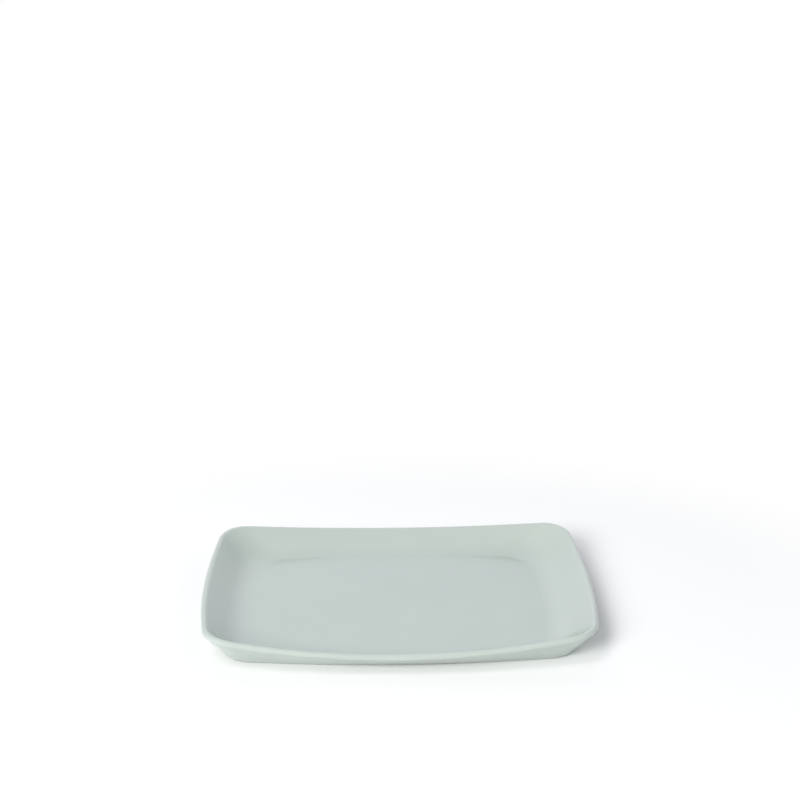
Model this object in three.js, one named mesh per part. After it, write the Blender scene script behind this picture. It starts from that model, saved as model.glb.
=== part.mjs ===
// A ceramic serving plate: a rectangle with bowed sides and round corners, whose rim dips along each side and
// lifts at each corner. Millimetres, +Z up. It stands on its foot at z = 0, centred on the origin, with its long
// sides along X.
//
// It is three solids: the fired clay, a coat of glaze that runs from the outer wall over the lip and across the
// well, and the glaze on the panel inside the foot. The foot band between the two glazes is bare clay.

import * as THREE from "three";
import { mergeVertices } from "three/addons/utils/BufferGeometryUtils.js";

// Rim, measured over the glaze
const PLATE_LENGTH = 300;
const PLATE_WIDTH = 220;
const LONG_SIDE_BOW = 11.7; // how far a side's middle stands out past where its arc meets the next one's
const SHORT_SIDE_BOW = 8.5;
const RIM_CORNER_RADIUS = 27.5;
const LONG_SIDE_HEIGHT = 16.3;
const SHORT_SIDE_HEIGHT = 20;
const CORNER_HEIGHT = 24.3;

// Walls and base. Each wall leaves the base on a curve and then runs straight up to the lip. Spreads are level
// distances from where the curve starts, halfway through the base, out to the middle of the lip.
const WALL_THICKNESS = 3.7; // of the clay at the lip and in the base
const INNER_WALL = { sideSpread: 26.5, endSpread: 36, straightSpread: 15, cornerRadius: 25 };
const OUTER_WALL = { sideSpread: 29.6, endSpread: 33, straightSpread: 5, cornerRadius: 15 };
const INNER_LIP_RADIUS = 5; // over the glaze: the lip is rounder towards the well than outwards
const FOOT_BEND_RADIUS = 4; // the tight curve from the foot up to the outer wall
const FOOT_BAND_WIDTH = 9; // of the flat that the plate stands on, inwards from the foot's curve
const PANEL_RECESS = 1.1; // lift of the panel inside the foot band
const PANEL_SLOPE = 2.5; // level width of the slope between the foot band and the panel

// Glaze
const GLAZE_THICKNESS = 0.3;
const GLAZE_SEAM = 0.02; // modelling clearance between the clay and the glaze that is fused to it
const BARE_FOOT_HEIGHT = 0.4; // the outer glaze stops this far above the table
const BARE_PANEL_MARGIN = 1.5; // bare clay left round the panel's glaze

// Facets
const SHORT_SIDE_STEPS = 5; // along half of a short side
const CORNER_STEPS = 9;
const LONG_SIDE_STEPS = 8; // along half of a long side
const FOOT_BEND_STEPS = 2;
const WELL_BEND_STEPS = 6;
const WALL_STEPS = 2;
const OUTER_LIP_STEPS = 5;
const INNER_LIP_STEPS = 3;

const HALF_WALL = WALL_THICKNESS / 2;
const GLAZE_SEAT = HALF_WALL + GLAZE_SEAM;
const HALF_COAT = GLAZE_SEAT + GLAZE_THICKNESS;
const LIP_SOFTNESS = INNER_LIP_RADIUS - HALF_COAT; // how much rounder that is
const BARE_FOOT_ANGLE = Math.acos(1 - BARE_FOOT_HEIGHT / FOOT_BEND_RADIUS); // where that is on the foot's curve
const SLOPE_HALVINGS = 40; // steps that find a wall's slope

const CLAY = new THREE.MeshStandardMaterial({ color: 0xd6d6cc, roughness: 0.85, metalness: 0 });
const GLAZE = new THREE.MeshStandardMaterial({ color: 0xc3ccc7, roughness: 0.3, metalness: 0 });

// Radius of the arc that spans a chord and bows out past its ends.
function bowRadius(halfChord, bow) {
  return (halfChord ** 2 + bow ** 2) / (2 * bow);
}

// The point in the first quadrant at one distance from each of two centres.
function meetingPoint(centreA, distanceA, centreB, distanceB) {
  const across = centreB.clone().sub(centreA);
  const gap = across.length();
  const along = (distanceA ** 2 - distanceB ** 2 + gap ** 2) / (2 * gap);
  const aside = Math.sqrt(distanceA ** 2 - along ** 2);
  const level = across.divideScalar(gap);
  const upright = new THREE.Vector2(-level.y, level.x);
  return centreA.clone().addScaledVector(level, along).addScaledVector(upright, aside);
}

// The three arcs of a quarter of an outline inside the rim: half a short side, a corner and half a long side.
// The insets are from the rim's ends and from its long sides. The sides of every outline share their centres.
function quarterArcs(endInset, sideInset, cornerRadius) {
  const halfLength = PLATE_LENGTH / 2;
  const halfWidth = PLATE_WIDTH / 2;
  const rimLongRadius = bowRadius(halfLength - SHORT_SIDE_BOW, LONG_SIDE_BOW);
  const rimShortRadius = bowRadius(halfWidth - LONG_SIDE_BOW, SHORT_SIDE_BOW);
  const longCentre = new THREE.Vector2(0, halfWidth - rimLongRadius);
  const shortCentre = new THREE.Vector2(halfLength - rimShortRadius, 0);
  const longRadius = rimLongRadius - sideInset;
  const shortRadius = rimShortRadius - endInset;
  const cornerCentre = meetingPoint(
    shortCentre,
    shortRadius - cornerRadius,
    longCentre,
    longRadius - cornerRadius,
  );
  const cornerStart = cornerCentre.clone().sub(shortCentre).angle();
  const cornerEnd = cornerCentre.clone().sub(longCentre).angle();
  const arc = (centre, radius, from, to) =>
    new THREE.EllipseCurve(centre.x, centre.y, radius, radius, from, to);
  return [
    arc(shortCentre, shortRadius, 0, cornerStart),
    arc(cornerCentre, cornerRadius, cornerStart, cornerEnd),
    arc(longCentre, longRadius, cornerEnd, Math.PI / 2),
  ];
}

// Points along a quarter of an outline, the same number on each of its arcs whatever its size.
function quarterPoints(arcs) {
  const [shortSide, corner, longSide] = arcs;
  return [
    ...shortSide.getPoints(SHORT_SIDE_STEPS).slice(0, -1),
    ...corner.getPoints(CORNER_STEPS).slice(0, -1),
    ...longSide.getPoints(LONG_SIDE_STEPS),
  ];
}

// Share of the corner's lift at a distance from the middle of a side: a parabola along the side, which turns
// over into another one on the corner without a kink.
function lift(distance, sideLength, reach) {
  const turn = sideLength / reach;
  const share = distance / reach;
  return share < turn ? share ** 2 / turn : 1 - (1 - share) ** 2 / (1 - turn);
}

// Height of the lip's crest at each point of a quarter of the rim.
function quarterHeights(arcs) {
  const [shortLength, cornerLength, longLength] = arcs.map((arc) => arc.getLength());
  const shortReach = shortLength + cornerLength / 2;
  const longReach = longLength + cornerLength / 2;
  const height = (distance) =>
    distance <= shortReach
      ? THREE.MathUtils.lerp(SHORT_SIDE_HEIGHT, CORNER_HEIGHT, lift(distance, shortLength, shortReach))
      : THREE.MathUtils.lerp(
          LONG_SIDE_HEIGHT,
          CORNER_HEIGHT,
          lift(shortReach + longReach - distance, longLength, longReach),
        );
  const spread = (start, length, steps) =>
    Array.from({ length: steps }, (_, step) => start + (length * step) / steps);
  return [
    ...spread(0, shortLength, SHORT_SIDE_STEPS),
    ...spread(shortLength, cornerLength, CORNER_STEPS),
    ...spread(shortLength + cornerLength, longLength, LONG_SIDE_STEPS),
    shortReach + longReach,
  ].map(height);
}

// A full ring, counter-clockwise, from a quarter that runs from the +X axis to the +Y axis.
function ringOf(quarter, mirror) {
  const last = quarter.length - 1;
  const back = quarter.slice(0, last).reverse();
  return [
    ...quarter,
    ...back.map((item) => mirror(item, -1, 1)),
    ...quarter.slice(1).map((item) => mirror(item, -1, -1)),
    ...back.slice(0, -1).map((item) => mirror(item, 1, -1)),
  ];
}

const mirrorPoint = (point, x, y) => new THREE.Vector2(point.x * x, point.y * y);

// The outline where a wall's curve starts.
function startOutline({ sideSpread, endSpread, cornerRadius }) {
  const arcs = quarterArcs(HALF_COAT + endSpread, HALF_COAT + sideSpread, cornerRadius);
  return ringOf(quarterPoints(arcs), mirrorPoint);
}

// Slope of a wall that rises on a curve over one level distance and then straight over another.
function wallSlope(bendRun, straightRun, rise) {
  let low = 0;
  let high = Math.PI / 2;
  for (let halving = 0; halving < SLOPE_HALVINGS; halving += 1) {
    const middle = (low + high) / 2;
    if (bendRun * Math.tan(middle / 2) + straightRun * Math.tan(middle) < rise) {
      low = middle;
    } else {
      high = middle;
    }
  }
  return low;
}

// One wall at one place round the plate: the start of its curve, the level way out to the middle of the lip, its
// run and slope, and its curve's radius.
function wallLine(start, lip, rise, straightRun) {
  const across = lip.clone().sub(start);
  const run = across.length();
  const slope = wallSlope(run - straightRun, straightRun, rise);
  const radius = (run - straightRun) / Math.sin(slope);
  return { start, outward: across.divideScalar(run), run, slope, radius };
}

// Both walls at each place round the plate, with the rise from the middle of the base to the middle of the lip.
function wallStations() {
  const lipArcs = quarterArcs(HALF_COAT, HALF_COAT, RIM_CORNER_RADIUS - HALF_COAT);
  const lips = ringOf(quarterPoints(lipArcs), mirrorPoint);
  const heights = ringOf(quarterHeights(lipArcs), (height) => height);
  const innerStarts = startOutline(INNER_WALL);
  const outerStarts = startOutline(OUTER_WALL);
  return lips.map((lip, place) => {
    const rise = heights[place] - HALF_COAT - HALF_WALL;
    return {
      rise,
      inner: wallLine(innerStarts[place], lip, rise, INNER_WALL.straightSpread),
      outer: wallLine(outerStarts[place], lip, rise, OUTER_WALL.straightSpread),
    };
  });
}

// A point at a level distance out from a wall's start and a height above the table.
function onWall({ start, outward }, out, z) {
  const plan = start.clone().addScaledVector(outward, out);
  return new THREE.Vector3(plan.x, plan.y, z);
}

// How far out from the start of the outer wall the foot's curve leaves the table.
function footReach({ radius, slope }) {
  return (radius + HALF_WALL - FOOT_BEND_RADIUS) * Math.tan(slope / 2);
}

// A level ring under the base, at a distance inside the foot's curve.
function underRing(stations, inward, z) {
  return stations.map(({ outer }) => onWall(outer, footReach(outer) - inward, z));
}

// A point on the foot's curve, at a distance outside the outer wall's middle line and an angle up from the table.
function footBend({ outer }, distance, angle) {
  const reach = FOOT_BEND_RADIUS + distance - HALF_WALL;
  return onWall(outer, footReach(outer) + reach * Math.sin(angle), FOOT_BEND_RADIUS - reach * Math.cos(angle));
}

// A point on the well's curve, at a distance inside the inner wall's middle line and an angle up from the well.
function wellBend({ inner }, distance, angle) {
  const reach = inner.radius - LIP_SOFTNESS - distance;
  const middle = HALF_WALL - LIP_SOFTNESS + inner.radius;
  return onWall(inner, reach * Math.sin(angle), middle - reach * Math.cos(angle));
}

// A point round the lip, at a distance from its middle line: from the outer wall at share 0 to the crest at 1.
function outerLip({ outer, rise }, distance, share) {
  const angle = THREE.MathUtils.lerp(outer.slope - Math.PI / 2, Math.PI / 2, share);
  const middle = HALF_WALL + rise;
  return onWall(outer, outer.run + distance * Math.cos(angle), middle + distance * Math.sin(angle));
}

// The same from the crest at share 0 to the inner wall at 1.
function innerLip({ inner, rise }, distance, share) {
  const angle = Math.PI / 2 + inner.slope * share;
  const reach = distance + LIP_SOFTNESS;
  const middle = HALF_WALL + rise - LIP_SOFTNESS;
  return onWall(inner, inner.run + reach * Math.cos(angle), middle + reach * Math.sin(angle));
}

// Points across the wall at one station, at a distance either side of its middle lines: up the outside from the
// edge of the bare foot, over the lip and down the inside to the well.
function wallSection(station, distance) {
  const { inner, outer } = station;
  const points = [];
  for (let step = 0; step <= FOOT_BEND_STEPS; step += 1) {
    const angle = THREE.MathUtils.lerp(BARE_FOOT_ANGLE, outer.slope, step / FOOT_BEND_STEPS);
    points.push(footBend(station, distance, angle));
  }
  for (let step = 1; step < WALL_STEPS; step += 1) {
    const foot = footBend(station, distance, outer.slope);
    points.push(foot.lerp(outerLip(station, distance, 0), step / WALL_STEPS));
  }
  for (let step = 0; step < OUTER_LIP_STEPS; step += 1) {
    points.push(outerLip(station, distance, step / OUTER_LIP_STEPS));
  }
  for (let step = 0; step <= INNER_LIP_STEPS; step += 1) {
    points.push(innerLip(station, distance, step / INNER_LIP_STEPS));
  }
  for (let step = 1; step < WALL_STEPS; step += 1) {
    const well = wellBend(station, distance, inner.slope);
    points.push(innerLip(station, distance, 1).lerp(well, step / WALL_STEPS));
  }
  for (let step = 0; step <= WELL_BEND_STEPS; step += 1) {
    points.push(wellBend(station, distance, THREE.MathUtils.lerp(inner.slope, 0, step / WELL_BEND_STEPS)));
  }
  return points;
}

// The rings that a wall section makes as it goes round the plate.
function wallRings(stations, distance) {
  const sections = stations.map((station) => wallSection(station, distance));
  return sections[0].map((_, level) => sections.map((section) => section[level]));
}

// Faces between neighbouring rings of equal count, pointing outwards where the rings run up the outside.
function strip(rings) {
  const faces = [];
  for (let row = 0; row + 1 < rings.length; row += 1) {
    const lower = rings[row];
    const upper = rings[row + 1];
    lower.forEach((point, place) => {
      const next = (place + 1) % lower.length;
      faces.push([point, lower[next], upper[next]], [point, upper[next], upper[place]]);
    });
  }
  return faces;
}

// A level disc inside a ring, facing up.
function disc(ring) {
  const middle = new THREE.Vector3(0, 0, ring[0].z);
  return ring.map((point, place) => [middle, point, ring[(place + 1) % ring.length]]);
}

const turned = (faces) => faces.map(([a, b, c]) => [a, c, b]);

// A named mesh from the faces that close its solid.
function solid(name, faces, material) {
  const loose = new THREE.BufferGeometry().setFromPoints(faces.flat());
  const geometry = mergeVertices(loose);
  geometry.computeVertexNormals();
  const mesh = new THREE.Mesh(geometry, material);
  mesh.name = name;
  return mesh;
}

// The faces of a solid whose rings start under it and end on top of it.
function closed(rings) {
  return [...turned(disc(rings[0])), ...strip(rings), ...disc(rings.at(-1))];
}

// The fired clay: recessed panel, foot band, outer wall, lip, inner wall and well.
function clayBody(stations) {
  const underside = [
    underRing(stations, FOOT_BAND_WIDTH + PANEL_SLOPE, PANEL_RECESS),
    underRing(stations, FOOT_BAND_WIDTH, 0),
    underRing(stations, 0, 0),
  ];
  return solid("clay_body", closed([...underside, ...wallRings(stations, HALF_WALL)]), CLAY);
}

// The glaze over the outer wall, lip and well, whose inner face follows the clay's surface.
function glazeCoat(stations) {
  const inner = wallRings(stations, GLAZE_SEAT);
  const outer = wallRings(stations, HALF_COAT);
  return solid(
    "glaze_coat",
    [
      ...strip([inner[0], ...outer]),
      ...disc(outer.at(-1)),
      ...turned([...strip(inner), ...disc(inner.at(-1))]),
    ],
    GLAZE,
  );
}

// The glaze on the panel inside the foot band.
function panelGlaze(stations) {
  const inward = FOOT_BAND_WIDTH + PANEL_SLOPE + BARE_PANEL_MARGIN;
  const top = PANEL_RECESS - GLAZE_SEAM;
  const rings = [underRing(stations, inward, top - GLAZE_THICKNESS), underRing(stations, inward, top)];
  return solid("panel_glaze", closed(rings), GLAZE);
}

const stations = wallStations();
const plate = new THREE.Group();
plate.name = "serving_plate";
plate.add(clayBody(stations), glazeCoat(stations), panelGlaze(stations));

export default plate;
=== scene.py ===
import math

import bmesh
import bpy
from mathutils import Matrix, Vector


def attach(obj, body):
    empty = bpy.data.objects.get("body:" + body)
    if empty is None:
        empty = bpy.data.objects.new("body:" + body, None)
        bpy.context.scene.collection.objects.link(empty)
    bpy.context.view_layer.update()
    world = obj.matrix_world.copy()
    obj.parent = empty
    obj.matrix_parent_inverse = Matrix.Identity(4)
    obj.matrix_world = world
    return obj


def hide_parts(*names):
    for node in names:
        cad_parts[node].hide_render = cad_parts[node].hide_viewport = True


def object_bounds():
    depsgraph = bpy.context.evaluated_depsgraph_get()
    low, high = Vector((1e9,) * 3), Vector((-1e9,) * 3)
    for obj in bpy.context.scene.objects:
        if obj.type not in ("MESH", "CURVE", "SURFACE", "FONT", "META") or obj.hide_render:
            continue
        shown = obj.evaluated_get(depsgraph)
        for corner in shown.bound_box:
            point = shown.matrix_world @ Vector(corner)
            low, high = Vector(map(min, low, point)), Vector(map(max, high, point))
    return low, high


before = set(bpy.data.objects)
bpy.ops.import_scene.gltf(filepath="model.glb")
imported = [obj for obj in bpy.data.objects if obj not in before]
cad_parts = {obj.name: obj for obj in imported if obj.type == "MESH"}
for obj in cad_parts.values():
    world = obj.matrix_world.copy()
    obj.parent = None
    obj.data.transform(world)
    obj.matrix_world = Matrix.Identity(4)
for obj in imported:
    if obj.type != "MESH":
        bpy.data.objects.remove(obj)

bl_info = {
    "name": "Serving plate",
    "version": (1, 0, 0),
    "blender": (4, 5, 0),
    "location": "View3D > Sidebar > Plate",
    "description": "A ceramic serving plate with bowed sides, in clay and glaze, on a white sweep",
    "category": "Add Mesh",
}

MM = 0.001
CAD_BOX = [list(corner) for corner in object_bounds()]
CAD_SIZE = Vector(CAD_BOX[1]) - Vector(CAD_BOX[0])

# Steps of the cage that each piece is smoothed from
END_STEPS = 6
CORNER_STEPS = 10
SIDE_STEPS = 9
BEND_STEPS = 4
WALL_STEPS = 3
OUTER_LIP_STEPS = 6
INNER_LIP_STEPS = 3
SLOPE_HALVINGS = 40
SMOOTH_LEVELS = 2

PLACE = "place"
ROW = "row"
THIN = "thin_glaze"
POOL = "pooled_glaze"
FLASH = "kiln_flash"


def length(name, description, millimetres):
    return bpy.props.FloatProperty(
        name=name,
        description=description,
        default=millimetres * MM,
        min=0.0,
        unit="LENGTH",
        subtype="DISTANCE",
        precision=5,
    )


def colour(name, description, value):
    return bpy.props.FloatVectorProperty(
        name=name,
        description=description,
        default=value,
        min=0.0,
        max=1.0,
        size=3,
        subtype="COLOR",
    )


class PlateSizes(bpy.types.PropertyGroup):
    """Sizes of the plate, measured over the glaze."""

    plate_length: length("Length", "Across the middles of the short sides", CAD_SIZE.x / MM)
    plate_width: length("Width", "Across the middles of the long sides", CAD_SIZE.y / MM)
    corner_height: length("Corner height", "Top of the lip at a corner", CAD_SIZE.z / MM)
    side_height: length("Side height", "Top of the lip at the middle of a long side", 16.3)
    end_height: length("End height", "Top of the lip at the middle of a short side", 20)
    side_bow: length("Side bow", "How far a long side stands out past its corners", 11.7)
    end_bow: length("End bow", "How far a short side stands out past its corners", 8.5)
    rim_corner: length("Rim corner", "Radius of the rim's corners, seen from above", 27.5)
    inner_side: length("Inner side", "From the flat of the well out to the lip on a long side", 26.5)
    inner_end: length("Inner end", "From the flat of the well out to the lip on a short side", 36)
    inner_straight: length("Inner straight", "Level length of the inner wall above its curve", 15)
    inner_corner: length("Inner corner", "Radius of the corners of the well's flat floor", 25)
    outer_side: length("Outer side", "From the start of the outer wall's curve to the lip, long side", 29.6)
    outer_end: length("Outer end", "From the start of the outer wall's curve to the lip, short side", 33)
    outer_straight: length("Outer straight", "Level length of the outer wall above its curve", 5)
    outer_corner: length("Outer corner", "Radius of the corners where the outer wall's curve starts", 15)
    inner_lip: length("Inner lip", "Radius of the lip towards the well", 5)
    foot_bend: length("Foot bend", "Radius of the curve from the foot up to the outer wall", 4)
    wall: length("Wall", "Thickness of the clay at the lip and in the base", 3.7)
    foot_band: length("Foot band", "Width of the bare band that the plate stands on", 9)
    panel_recess: length("Panel recess", "Lift of the panel inside the foot band", 1.1)
    panel_slope: length("Panel slope", "Width of the slope from the foot band to the panel", 2.5)
    panel_margin: length("Panel margin", "Bare clay round the glaze of the panel", 1.5)
    glaze: length("Glaze", "Thickness of the glaze", 0.3)
    seam: length("Seam", "Clearance between the clay and its glaze", 0.02)
    bare_foot: length("Bare foot", "Height at which the outer glaze stops", 0.4)

    @property
    def half_wall(self):
        return self.wall / 2

    @property
    def half_coat(self):
        return self.half_wall + self.seam + self.glaze

    @property
    def lip_softness(self):
        return self.inner_lip - self.half_coat


class PlateColours(bpy.types.PropertyGroup):
    """Colours of the plate's finishes."""

    glaze: colour("Glaze", "Glaze where it lies evenly", (0.498, 0.558, 0.518))
    thin_glaze: colour("Thin glaze", "Glaze where it thins over the lip", (0.508, 0.567, 0.527))
    pooled_glaze: colour(
        "Pooled glaze", "Glaze where it gathers at the edge of the well", (0.467, 0.530, 0.490)
    )
    clay: colour("Clay", "Bare fired clay", (0.70, 0.68, 0.62))
    kiln_flash: colour("Kiln flash", "Clay beside the glaze, toasted in the kiln", (0.60, 0.50, 0.40))


def sizes():
    return bpy.context.scene.plate_sizes


def colours():
    return bpy.context.scene.plate_colours


# Outlines


def bow_radius(half_chord, bow):
    """Radius of the arc that spans a chord and bows out past its ends."""
    return (half_chord ** 2 + bow ** 2) / (2 * bow)


def meeting_point(centre_a, distance_a, centre_b, distance_b):
    """The point in the first quadrant at one distance from each of two centres."""
    across = centre_b - centre_a
    gap = across.length
    along = (distance_a ** 2 - distance_b ** 2 + gap ** 2) / (2 * gap)
    aside = math.sqrt(distance_a ** 2 - along ** 2)
    level = across / gap
    return centre_a + level * along + Vector((-level.y, level.x)) * aside


def quarter_arcs(end_inset, side_inset, corner_radius):
    """Half a short side, a corner and half a long side, as (centre, radius, start angle, end angle)."""
    s = sizes()
    half_length = s.plate_length / 2
    half_width = s.plate_width / 2
    side_radius = bow_radius(half_length - s.end_bow, s.side_bow)
    end_radius = bow_radius(half_width - s.side_bow, s.end_bow)
    side_centre = Vector((0, half_width - side_radius))
    end_centre = Vector((half_length - end_radius, 0))
    side_radius -= side_inset
    end_radius -= end_inset
    corner = meeting_point(
        end_centre, end_radius - corner_radius, side_centre, side_radius - corner_radius
    )
    turn_in = math.atan2(*reversed(corner - end_centre))
    turn_out = math.atan2(*reversed(corner - side_centre))
    return [
        (end_centre, end_radius, 0, turn_in),
        (corner, corner_radius, turn_in, turn_out),
        (side_centre, side_radius, turn_out, math.pi / 2),
    ]


def arc_length(arc):
    _, radius, start, end = arc
    return radius * (end - start)


def quarter_points(arcs):
    """Points from the middle of a short side to the middle of a long side."""
    points = []
    for (centre, radius, start, end), steps in zip(arcs, (END_STEPS, CORNER_STEPS, SIDE_STEPS)):
        for step in range(steps):
            angle = start + (end - start) * step / steps
            points.append(centre + radius * Vector((math.cos(angle), math.sin(angle))))
    centre, radius, _, end = arcs[-1]
    points.append(centre + radius * Vector((math.cos(end), math.sin(end))))
    return points


def all_round(quarter, mirror):
    """A full ring, counter-clockwise, from a quarter of it."""
    back = quarter[-2::-1]
    return (
        quarter
        + [mirror(item, -1, 1) for item in back]
        + [mirror(item, -1, -1) for item in quarter[1:]]
        + [mirror(item, 1, -1) for item in back[:-1]]
    )


def outline(end_inset, side_inset, corner_radius):
    points = quarter_points(quarter_arcs(end_inset, side_inset, corner_radius))
    return all_round(points, lambda point, x, y: Vector((point.x * x, point.y * y)))


# Wall


def lift(distance, side_length, reach):
    """Share of the corner's lift: a parabola along a side, which rounds over on the corner."""
    turn = side_length / reach
    share = distance / reach
    return share ** 2 / turn if share < turn else 1 - (1 - share) ** 2 / (1 - turn)


def rim_heights():
    """Height of the lip's crest at each place round the plate."""
    s = sizes()
    arcs = quarter_arcs(s.half_coat, s.half_coat, s.rim_corner - s.half_coat)
    end, corner, side = (arc_length(arc) for arc in arcs)
    end_reach = end + corner / 2
    side_reach = side + corner / 2
    distances = [end * step / END_STEPS for step in range(END_STEPS)]
    distances += [end + corner * step / CORNER_STEPS for step in range(CORNER_STEPS)]
    distances += [end + corner + side * step / SIDE_STEPS for step in range(SIDE_STEPS + 1)]
    heights = []
    for distance in distances:
        if distance <= end_reach:
            low, share = s.end_height, lift(distance, end, end_reach)
        else:
            low, share = s.side_height, lift(end_reach + side_reach - distance, side, side_reach)
        heights.append(low + (s.corner_height - low) * share)
    return all_round(heights, lambda height, x, y: height)


def wall_slope(bend_run, straight_run, rise):
    """Slope of a wall that leaves the base on an arc and then runs straight to its lip."""
    low, high = 0.0, math.pi / 2
    for _ in range(SLOPE_HALVINGS):
        slope = (low + high) / 2
        reached = bend_run * math.tan(slope / 2) + straight_run * math.tan(slope)
        low, high = (slope, high) if reached < rise else (low, slope)
    return slope


class WallLine:
    """The middle line of one wall at one place round the plate, from the start of its curve to the lip."""

    def __init__(self, start, lip, rise, straight):
        across = lip - start
        self.start = start
        self.outward = across.normalized()
        self.run = across.length
        self.rise = rise
        self.slope = wall_slope(self.run - straight, straight, rise)
        self.radius = (self.run - straight) / math.sin(self.slope)

    def point(self, out, height):
        plan = self.start + self.outward * out
        return Vector((plan.x, plan.y, height))

    @property
    def foot_reach(self):
        """How far out from the start the foot's curve leaves the table."""
        s = sizes()
        return (self.radius + s.half_wall - s.foot_bend) * math.tan(self.slope / 2)

    def foot_curve(self, distance, angle):
        s = sizes()
        reach = s.foot_bend + distance - s.half_wall
        return self.point(self.foot_reach + reach * math.sin(angle), s.foot_bend - reach * math.cos(angle))

    def well_curve(self, distance, angle):
        s = sizes()
        reach = self.radius - s.lip_softness - distance
        height = s.half_wall - s.lip_softness + self.radius - reach * math.cos(angle)
        return self.point(reach * math.sin(angle), height)

    def outer_lip(self, distance, share):
        """From the outer wall at share 0 to the crest at 1."""
        angle = (self.slope - math.pi / 2) * (1 - share) + math.pi / 2 * share
        height = sizes().half_wall + self.rise + distance * math.sin(angle)
        return self.point(self.run + distance * math.cos(angle), height)

    def inner_lip(self, distance, share):
        """From the crest at share 0 to the inner wall at 1."""
        s = sizes()
        angle = math.pi / 2 + self.slope * share
        reach = distance + s.lip_softness
        height = s.half_wall + self.rise - s.lip_softness + reach * math.sin(angle)
        return self.point(self.run + reach * math.cos(angle), height)


def wall_stations():
    """The outer and the inner wall line at each place round the plate."""
    s = sizes()
    lips = outline(s.half_coat, s.half_coat, s.rim_corner - s.half_coat)
    rises = [height - s.half_coat - s.half_wall for height in rim_heights()]
    outer_starts = outline(s.half_coat + s.outer_end, s.half_coat + s.outer_side, s.outer_corner)
    inner_starts = outline(s.half_coat + s.inner_end, s.half_coat + s.inner_side, s.inner_corner)
    return [
        (WallLine(outer, lip, rise, s.outer_straight), WallLine(inner, lip, rise, s.inner_straight))
        for outer, inner, lip, rise in zip(outer_starts, inner_starts, lips, rises)
    ]


def under_ring(inward, height):
    """A level ring under the base, at a distance inside the foot's curve."""
    return [outer.point(outer.foot_reach - inward, height) for outer, _ in wall_stations()]


def section_levels():
    """The places on a wall section, each as (part of the section, share of that part)."""
    levels = [("outer bend", step / BEND_STEPS) for step in range(BEND_STEPS + 1)]
    levels += [("outer wall", step / WALL_STEPS) for step in range(1, WALL_STEPS)]
    levels += [("outer lip", step / OUTER_LIP_STEPS) for step in range(OUTER_LIP_STEPS)]
    levels += [("inner lip", step / INNER_LIP_STEPS) for step in range(INNER_LIP_STEPS + 1)]
    levels += [("inner wall", step / WALL_STEPS) for step in range(1, WALL_STEPS)]
    levels += [("inner bend", step / BEND_STEPS) for step in range(BEND_STEPS + 1)]
    return levels


def section_point(station, level, distance):
    """A point at a distance either side of the walls' middle lines, at a level of their section."""
    s = sizes()
    outer, inner = station
    part, share = level
    bare = math.acos(1 - s.bare_foot / s.foot_bend)
    if part == "foot":
        return outer.foot_curve(distance, bare * share)
    if part == "outer bend":
        return outer.foot_curve(distance, bare + (outer.slope - bare) * share)
    if part == "outer wall":
        return outer.foot_curve(distance, outer.slope).lerp(outer.outer_lip(distance, 0), share)
    if part == "outer lip":
        return outer.outer_lip(distance, share)
    if part == "inner lip":
        return inner.inner_lip(distance, share)
    if part == "inner wall":
        return inner.inner_lip(distance, 1).lerp(inner.well_curve(distance, inner.slope), share)
    return inner.well_curve(distance, inner.slope * (1 - share))


def wall_rings(levels, distance):
    stations = wall_stations()
    return [[section_point(station, level, distance) for station in stations] for level in levels]


def thinness(level):
    """How far the glaze thins at a level: fully on the crest of the lip."""
    part, share = level
    return {"outer lip": share, "inner lip": 1 - share}.get(part, 0.0)


def pooling(level):
    """How far the glaze gathers at a level: most at the foot of the inner bend."""
    part, share = level
    return share ** 2 if part == "inner bend" else 0.0


# Modelling


def start_piece(name, ring):
    """A circle with one point for each place round the plate, each point numbered with its place, left in
    edit mode.
    """
    bpy.ops.object.select_all(action="DESELECT")
    bpy.ops.mesh.primitive_circle_add(vertices=len(ring), radius=sizes().plate_length / 2)
    piece = bpy.context.object
    piece.name = name
    piece.data.name = name
    bpy.ops.object.mode_set(mode="EDIT")
    mesh = bmesh.from_edit_mesh(piece.data)
    mesh.verts.layers.int.new(PLACE)
    mesh.verts.layers.int.new(ROW)
    for layer in (THIN, POOL, FLASH):
        mesh.verts.layers.float.new(layer)
    place = mesh.verts.layers.int[PLACE]
    for vert in mesh.verts:
        turn = math.atan2(vert.co.y, vert.co.x) / math.tau
        vert[place] = round(turn * len(ring)) % len(ring)
    bmesh.update_edit_mesh(piece.data)
    return piece


def place_ring(piece, row, ring, values):
    """Moves the selected ring to its place, and writes its row and finish values on its points."""
    mesh = bmesh.from_edit_mesh(piece.data)
    place = mesh.verts.layers.int[PLACE]
    row_layer = mesh.verts.layers.int[ROW]
    for vert in mesh.verts:
        if vert.select:
            vert.co = ring[vert[place]]
            vert[row_layer] = row
            for layer in (THIN, POOL, FLASH):
                vert[mesh.verts.layers.float[layer]] = values.get(layer, 0.0)
    bmesh.update_edit_mesh(piece.data)


def fill_row(piece, row):
    """Closes a ring with a grid of faces whose corners are the corners of the plate."""
    bpy.ops.mesh.select_all(action="DESELECT")
    mesh = bmesh.from_edit_mesh(piece.data)
    place = mesh.verts.layers.int[PLACE]
    row_layer = mesh.verts.layers.int[ROW]
    first_corner = END_STEPS + CORNER_STEPS // 2
    for edge in mesh.edges:
        edge.select_set(all(vert[row_layer] == row for vert in edge.verts))
    mesh.select_history.clear()
    for vert in mesh.verts:
        if vert.select and vert[place] == first_corner:
            mesh.select_history.add(vert)
    bmesh.update_edit_mesh(piece.data)
    bpy.ops.mesh.fill_grid(span=2 * (SIDE_STEPS + CORNER_STEPS // 2))


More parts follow.
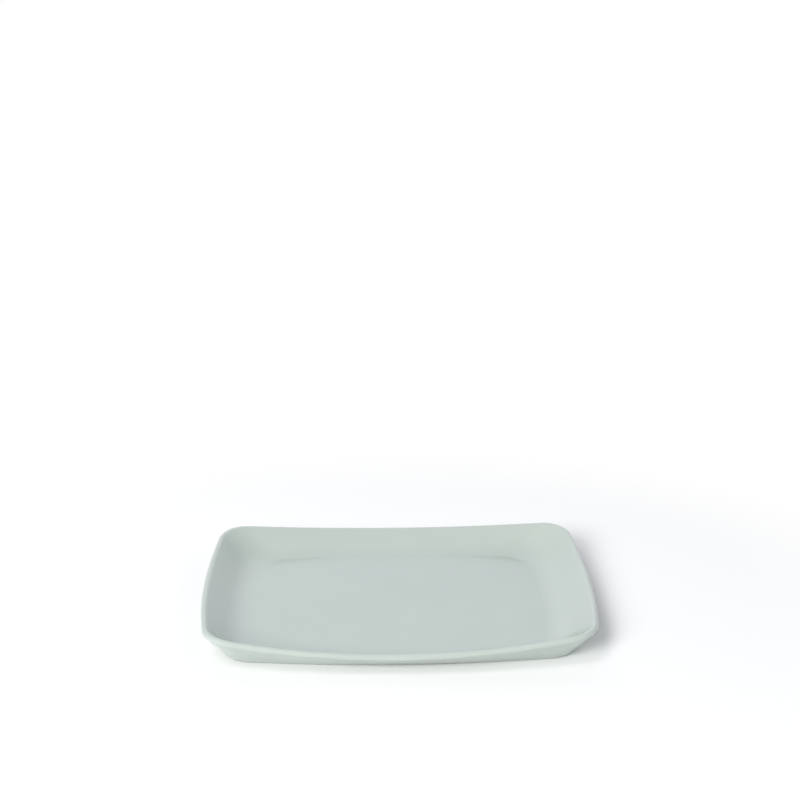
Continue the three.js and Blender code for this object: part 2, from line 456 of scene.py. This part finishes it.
def model_piece(name, rings, values):
    """Extrudes a circle through rings, closes both ends and smooths the cage."""
    piece = start_piece(name, rings[0])
    place_ring(piece, 1, rings[0], values[0])
    for row, (ring, value) in enumerate(zip(rings[1:], values[1:]), start=2):
        bpy.ops.mesh.extrude_region()
        place_ring(piece, row, ring, value)
    fill_row(piece, 1)
    fill_row(piece, len(rings))
    bpy.ops.mesh.select_all(action="SELECT")
    bpy.ops.mesh.normals_make_consistent(inside=False)
    bpy.ops.object.mode_set(mode="OBJECT")
    smooth = piece.modifiers.new("Smooth", "SUBSURF")
    smooth.levels = SMOOTH_LEVELS
    smooth.render_levels = SMOOTH_LEVELS
    bpy.ops.object.modifier_apply(modifier=smooth.name)
    bpy.ops.object.shade_smooth()
    for layer in (PLACE, ROW):
        piece.data.attributes.remove(piece.data.attributes[layer])
    return piece


def finish_piece(piece, node, material):
    piece.data.materials.append(material)
    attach(piece, "root")
    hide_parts(node)


# Materials


class Nodes:
    """Adds and links the nodes of one material."""

    def __init__(self, name):
        self.material = bpy.data.materials.new(name)
        self.material.use_nodes = True
        self.tree = self.material.node_tree
        self.shader = self.tree.nodes["Principled BSDF"]

    def add(self, kind, **settings):
        node = self.tree.nodes.new(kind)
        for key, value in settings.items():
            setattr(node, key, value)
        return node

    def link(self, source, target):
        self.tree.links.new(source, target)

    def noise(self, scale, detail, roughness=0.5):
        """A noise on object coordinates, about 0.5 on average."""
        place = self.add("ShaderNodeTexCoord")
        noise = self.add("ShaderNodeTexNoise")
        noise.inputs["Scale"].default_value = scale
        noise.inputs["Detail"].default_value = detail
        noise.inputs["Roughness"].default_value = roughness
        self.link(place.outputs["Object"], noise.inputs["Vector"])
        return noise.outputs["Fac"]

    def attribute(self, name):
        node = self.add("ShaderNodeAttribute", attribute_name=name)
        return node.outputs["Fac"]

    def span(self, value, low, high):
        """A value from 0 to 1 spread from low to high."""
        node = self.add("ShaderNodeMapRange")
        node.inputs["To Min"].default_value = low
        node.inputs["To Max"].default_value = high
        self.link(value, node.inputs["Value"])
        return node.outputs["Result"]

    def mix(self, factor, first, second, blend="MIX"):
        """Two colours mixed by a factor: each is a socket or a colour."""
        node = self.add("ShaderNodeMix", data_type="RGBA", blend_type=blend)
        if isinstance(factor, float):
            node.inputs["Factor"].default_value = factor
        else:
            self.link(factor, node.inputs["Factor"])
        for name, item in (("A", first), ("B", second)):
            socket = next(i for i in node.inputs if i.name == name and i.type == "RGBA")
            if isinstance(item, bpy.types.NodeSocket):
                self.link(item, socket)
            else:
                socket.default_value = (*item, 1)
        return next(o for o in node.outputs if o.type == "RGBA")

    def product(self, first, second):
        node = self.add("ShaderNodeMath", operation="MULTIPLY")
        self.link(first, node.inputs[0])
        self.link(second, node.inputs[1])
        return node.outputs[0]

    def bump(self, height, strength, distance):
        node = self.add("ShaderNodeBump")
        node.inputs["Strength"].default_value = strength
        node.inputs["Distance"].default_value = distance
        self.link(height, node.inputs["Height"])
        return node.outputs["Normal"]


# Scales of the finishes' noises, per metre
GLAZE_CLOUDS = 16
GLAZE_SHEEN = 40
GLAZE_RIPPLE = 130
GLAZE_GRAIN = 620
CLAY_CLOUDS = 30
CLAY_DRYNESS = 300
CLAY_GRIT = 1400
CLAY_TOOTH = 1800

GLAZE_IOR = 1.5
GLAZE_RIPPLE_HEIGHT = 0.2 * MM
CLAY_TOOTH_HEIGHT = 0.15 * MM


def glaze_material():
    """Satin glaze: lighter where it thins, deeper where it pools, with a faint cloudiness."""
    nodes = Nodes("satin_glaze")
    c = colours()
    base = nodes.mix(nodes.attribute(THIN), tuple(c.glaze), tuple(c.thin_glaze))
    base = nodes.mix(nodes.attribute(POOL), base, tuple(c.pooled_glaze))
    cloud = nodes.span(nodes.noise(GLAZE_CLOUDS, 4), 0.965, 1.035)
    grain = nodes.span(nodes.noise(GLAZE_GRAIN, 2), 0.985, 1.015)
    base = nodes.mix(1.0, base, nodes.product(cloud, grain), "MULTIPLY")
    nodes.link(base, nodes.shader.inputs["Base Color"])
    nodes.link(nodes.span(nodes.noise(GLAZE_SHEEN, 3), 0.10, 0.16), nodes.shader.inputs["Roughness"])
    ripple = nodes.bump(nodes.noise(GLAZE_RIPPLE, 2), 0.03, GLAZE_RIPPLE_HEIGHT)
    nodes.link(ripple, nodes.shader.inputs["Normal"])
    nodes.shader.inputs["IOR"].default_value = GLAZE_IOR
    return nodes.material


def clay_material():
    """Bare fired clay: fine grit, dry, toasted beside the glaze."""
    nodes = Nodes("bare_clay")
    c = colours()
    base = nodes.mix(nodes.attribute(FLASH), tuple(c.clay), tuple(c.kiln_flash))
    grit = nodes.span(nodes.noise(CLAY_GRIT, 3, 0.7), 0.86, 1.1)
    cloud = nodes.span(nodes.noise(CLAY_CLOUDS, 4), 0.95, 1.05)
    base = nodes.mix(1.0, base, nodes.product(grit, cloud), "MULTIPLY")
    nodes.link(base, nodes.shader.inputs["Base Color"])
    nodes.link(nodes.span(nodes.noise(CLAY_DRYNESS, 2), 0.75, 0.92), nodes.shader.inputs["Roughness"])
    tooth = nodes.bump(nodes.noise(CLAY_TOOTH, 3, 0.65), 0.35, CLAY_TOOTH_HEIGHT)
    nodes.link(tooth, nodes.shader.inputs["Normal"])
    return nodes.material


# Pieces

FOOT_EDGE_SOFTNESS = 0.5 * MM
PANEL_EDGE_SOFTNESS = 0.3 * MM


class PLATE_OT_clay_body(bpy.types.Operator):
    """Models the fired clay, from the panel under its base over the lip to the well"""

    bl_idname = "plate.clay_body"
    bl_label = "Clay body"

    def execute(self, context):
        s = sizes()
        slope_start = s.foot_band + s.panel_slope
        # Rings under the base: distance inside the foot's curve, height and kiln flash
        under = [
            (slope_start + s.panel_margin, s.panel_recess, 0.9),
            (slope_start + FOOT_EDGE_SOFTNESS, s.panel_recess, 0.3),
            (slope_start - FOOT_EDGE_SOFTNESS, 0.85 * s.panel_recess, 0.1),
            (s.foot_band + FOOT_EDGE_SOFTNESS, 0.15 * s.panel_recess, 0.0),
            (s.foot_band - FOOT_EDGE_SOFTNESS, 0.0, 0.0),
        ]
        rings = [under_ring(inward, height) for inward, height, _ in under]
        values = [{FLASH: flash} for _, _, flash in under]
        foot = [("foot", 0.0), ("foot", 0.5)]
        rings += wall_rings(foot + section_levels(), s.half_wall)
        values += [{FLASH: share} for _, share in foot]
        values += [{FLASH: 1.0} for _ in section_levels()]
        piece = model_piece("clay", rings, values)
        finish_piece(piece, "clay_body", clay_material())
        return {"FINISHED"}


class PLATE_OT_glaze_coat(bpy.types.Operator):
    """Models the glaze over the outer wall, the lip, the inner wall and the well"""

    bl_idname = "plate.glaze_coat"
    bl_label = "Glaze coat"

    def execute(self, context):
        s = sizes()
        levels = section_levels()
        inner = wall_rings(levels, s.half_wall + s.seam)
        outer = wall_rings(levels, s.half_coat)
        rings = inner[::-1] + outer
        finish = [{THIN: thinness(level), POOL: pooling(level)} for level in levels]
        piece = model_piece("glaze", rings, finish[::-1] + finish)
        finish_piece(piece, "glaze_coat", glaze_material())
        return {"FINISHED"}


class PLATE_OT_panel_glaze(bpy.types.Operator):
    """Models the glaze on the recessed panel inside the foot band"""

    bl_idname = "plate.panel_glaze"
    bl_label = "Panel glaze"

    def execute(self, context):
        s = sizes()
        reach = s.foot_band + s.panel_slope + s.panel_margin
        top = s.panel_recess - s.seam
        bottom = top - s.glaze
        rings = [
            under_ring(reach + 4 * PANEL_EDGE_SOFTNESS, bottom),
            under_ring(reach + PANEL_EDGE_SOFTNESS, bottom),
            under_ring(reach, (top + bottom) / 2),
            under_ring(reach, top),
            under_ring(reach + 4 * PANEL_EDGE_SOFTNESS, top),
        ]
        values = [{}, {}, {THIN: 0.6}, {THIN: 0.6}, {}]
        piece = model_piece("panel_coat", rings, values)
        finish_piece(piece, "panel_glaze", glaze_material())
        return {"FINISHED"}


# Stage

IMAGE_SIDE = 800
SENSOR = 36.0
FOCAL_PIXELS = 1572.4
PLATE_MIDDLE_PIXEL = (397.7, 604.9)
CAMERA_DISTANCE = 1.2349
CAMERA_TURN = 0.027
CAMERA_TILT = 0.349


def add_camera():
    """A camera at the photograph's angle, with the plate's middle on its own pixel."""
    data = bpy.data.cameras.new("camera")
    data.sensor_width = SENSOR
    data.lens = FOCAL_PIXELS * SENSOR / IMAGE_SIDE
    camera = bpy.data.objects.new("camera", data)
    bpy.context.scene.collection.objects.link(camera)
    camera.rotation_euler = (math.pi / 2 - CAMERA_TILT, 0, -CAMERA_TURN)
    column, row = PLATE_MIDDLE_PIXEL
    half = IMAGE_SIDE / 2
    ray = Vector(((column - half) / FOCAL_PIXELS, (half - row) / FOCAL_PIXELS, -1)).normalized()
    ray.rotate(camera.rotation_euler)
    camera.location = -CAMERA_DISTANCE * ray
    bpy.context.scene.camera = camera


LAMP_SIZE = 1.9
# Each lamp's name, place and power
LAMPS = (
    ("key", (-2.29, -3.26, 2.30), 181),
    ("high", (-1.99, -1.15, 3.98), 49.5),
)


def add_lamp(name, place, power):
    """A square soft lamp that faces the plate."""
    data = bpy.data.lights.new(name, "AREA")
    data.size = LAMP_SIZE
    data.energy = power
    lamp = bpy.data.objects.new(name, data)
    bpy.context.scene.collection.objects.link(lamp)
    lamp.location = place
    lamp.rotation_euler = (-Vector(place)).to_track_quat("-Z", "Y").to_euler()
    lamp.visible_glossy = False


SWEEP_SIZE = 30
SWEEP_COLOUR = (0.965, 0.965, 0.965, 1)
SWEEP_REACH = (0.30, 0.22, 1)
SWEEP_FADE = (0.9, 1.5)


def add_floor():
    """A white sweep that keeps the plate's shadow and burns out to pure white away from it."""
    bpy.ops.object.select_all(action="DESELECT")
    bpy.ops.mesh.primitive_plane_add(size=SWEEP_SIZE)
    floor = bpy.context.object
    floor.name = "floor"
    nodes = Nodes("white_sweep")
    output = nodes.tree.nodes["Material Output"]
    nodes.tree.nodes.remove(nodes.shader)
    paper = nodes.add("ShaderNodeBsdfDiffuse")
    paper.inputs["Color"].default_value = SWEEP_COLOUR
    place = nodes.add("ShaderNodeTexCoord")
    scaled = nodes.add("ShaderNodeVectorMath", operation="DIVIDE")
    scaled.inputs[1].default_value = SWEEP_REACH
    distance = nodes.add("ShaderNodeVectorMath", operation="LENGTH")
    fade = nodes.add("ShaderNodeMapRange", interpolation_type="SMOOTHSTEP")
    fade.inputs["From Min"].default_value, fade.inputs["From Max"].default_value = SWEEP_FADE
    path = nodes.add("ShaderNodeLightPath")
    mirrored = nodes.add("ShaderNodeMath", operation="MAXIMUM")
    viewed = nodes.add("ShaderNodeMath", operation="MAXIMUM")
    seen = nodes.add("ShaderNodeMath", operation="MULTIPLY")
    glow = nodes.add("ShaderNodeEmission")
    sweep = nodes.add("ShaderNodeMixShader")
    nodes.link(place.outputs["Object"], scaled.inputs[0])
    nodes.link(scaled.outputs["Vector"], distance.inputs[0])
    nodes.link(distance.outputs["Value"], fade.inputs["Value"])
    nodes.link(fade.outputs["Result"], seen.inputs[0])
    nodes.link(path.outputs["Is Glossy Ray"], mirrored.inputs[0])
    nodes.link(path.outputs["Is Transmission Ray"], mirrored.inputs[1])
    nodes.link(path.outputs["Is Camera Ray"], viewed.inputs[0])
    nodes.link(mirrored.outputs[0], viewed.inputs[1])
    nodes.link(viewed.outputs[0], seen.inputs[1])
    nodes.link(seen.outputs[0], sweep.inputs["Fac"])
    nodes.link(paper.outputs[0], sweep.inputs[1])
    nodes.link(glow.outputs[0], sweep.inputs[2])
    nodes.link(sweep.outputs[0], output.inputs["Surface"])
    floor.data.materials.append(nodes.material)


STUDIO_SHADE = (0.13, 0.12, 0.126)
# Glowing sides of the studio: the way to the middle of each, how sharply it ends, and its glow
STUDIO_SIDES = (
    ((0, 0.9, 0.43), 4, (1.04, 1.04, 1.17)),
    ((0.94, 0, 0.34), 5, (1.08, 1.19, 1.15)),
    ((-0.94, 0, 0.34), 5, (0.20, 0.26, 0.22)),
)


def add_world():
    """A dim studio with a glowing backdrop and reflectors at its sides, white where the camera sees it."""
    world = bpy.data.worlds.new("studio")
    world.use_nodes = True
    tree = world.node_tree
    background = tree.nodes["Background"]
    direction = tree.nodes.new("ShaderNodeTexCoord")

    def maths(kind, operation, *values):
        node = tree.nodes.new(kind)
        node.operation = operation
        for socket, value in zip(node.inputs, values):
            if isinstance(value, bpy.types.NodeSocket):
                tree.links.new(value, socket)
            else:
                socket.default_value = value
        return node

    total = STUDIO_SHADE
    for way, sharpness, glow in STUDIO_SIDES:
        facing = maths(
            "ShaderNodeVectorMath", "DOT_PRODUCT", direction.outputs["Generated"], Vector(way).normalized()
        )
        ahead = maths("ShaderNodeMath", "MAXIMUM", facing.outputs["Value"], 0)
        side = maths("ShaderNodeMath", "POWER", ahead.outputs[0], sharpness)
        total = maths("ShaderNodeVectorMath", "MULTIPLY_ADD", side.outputs[0], glow, total).outputs[0]
    path = tree.nodes.new("ShaderNodeLightPath")
    shown = maths("ShaderNodeVectorMath", "MAXIMUM", total, path.outputs["Is Camera Ray"])
    tree.links.new(shown.outputs[0], background.inputs["Color"])
    bpy.context.scene.world = world


class PLATE_OT_stage(bpy.types.Operator):
    """Sets up the camera, the soft light and the white sweep"""

    bl_idname = "plate.stage"
    bl_label = "Stage"

    def execute(self, context):
        context.scene.view_settings.view_transform = "Standard"
        add_camera()
        add_floor()
        add_world()
        for lamp in LAMPS:
            add_lamp(*lamp)
        return {"FINISHED"}


PIECES = (PLATE_OT_clay_body, PLATE_OT_glaze_coat, PLATE_OT_panel_glaze, PLATE_OT_stage)


class PLATE_PT_panel(bpy.types.Panel):
    """Lists the plate's pieces and stage"""

    bl_idname = "PLATE_PT_panel"
    bl_label = "Serving plate"
    bl_space_type = "VIEW_3D"
    bl_region_type = "UI"
    bl_category = "Plate"

    def draw(self, context):
        column = self.layout.column()
        for operator in PIECES:
            column.operator(operator.bl_idname)
        for group in (context.scene.plate_sizes, context.scene.plate_colours):
            for name in group.__annotations__:
                column.prop(group, name)


CLASSES = (PlateSizes, PlateColours, *PIECES, PLATE_PT_panel)


def register():
    for item in CLASSES:
        bpy.utils.register_class(item)
    bpy.types.Scene.plate_sizes = bpy.props.PointerProperty(type=PlateSizes)
    bpy.types.Scene.plate_colours = bpy.props.PointerProperty(type=PlateColours)


def unregister():
    del bpy.types.Scene.plate_colours
    del bpy.types.Scene.plate_sizes
    for item in reversed(CLASSES):
        bpy.utils.unregister_class(item)


def main():
    register()
    bpy.ops.plate.clay_body()
    bpy.ops.plate.glaze_coat()
    bpy.ops.plate.panel_glaze()
    bpy.ops.plate.stage()


if __name__ == "__main__":
    main()
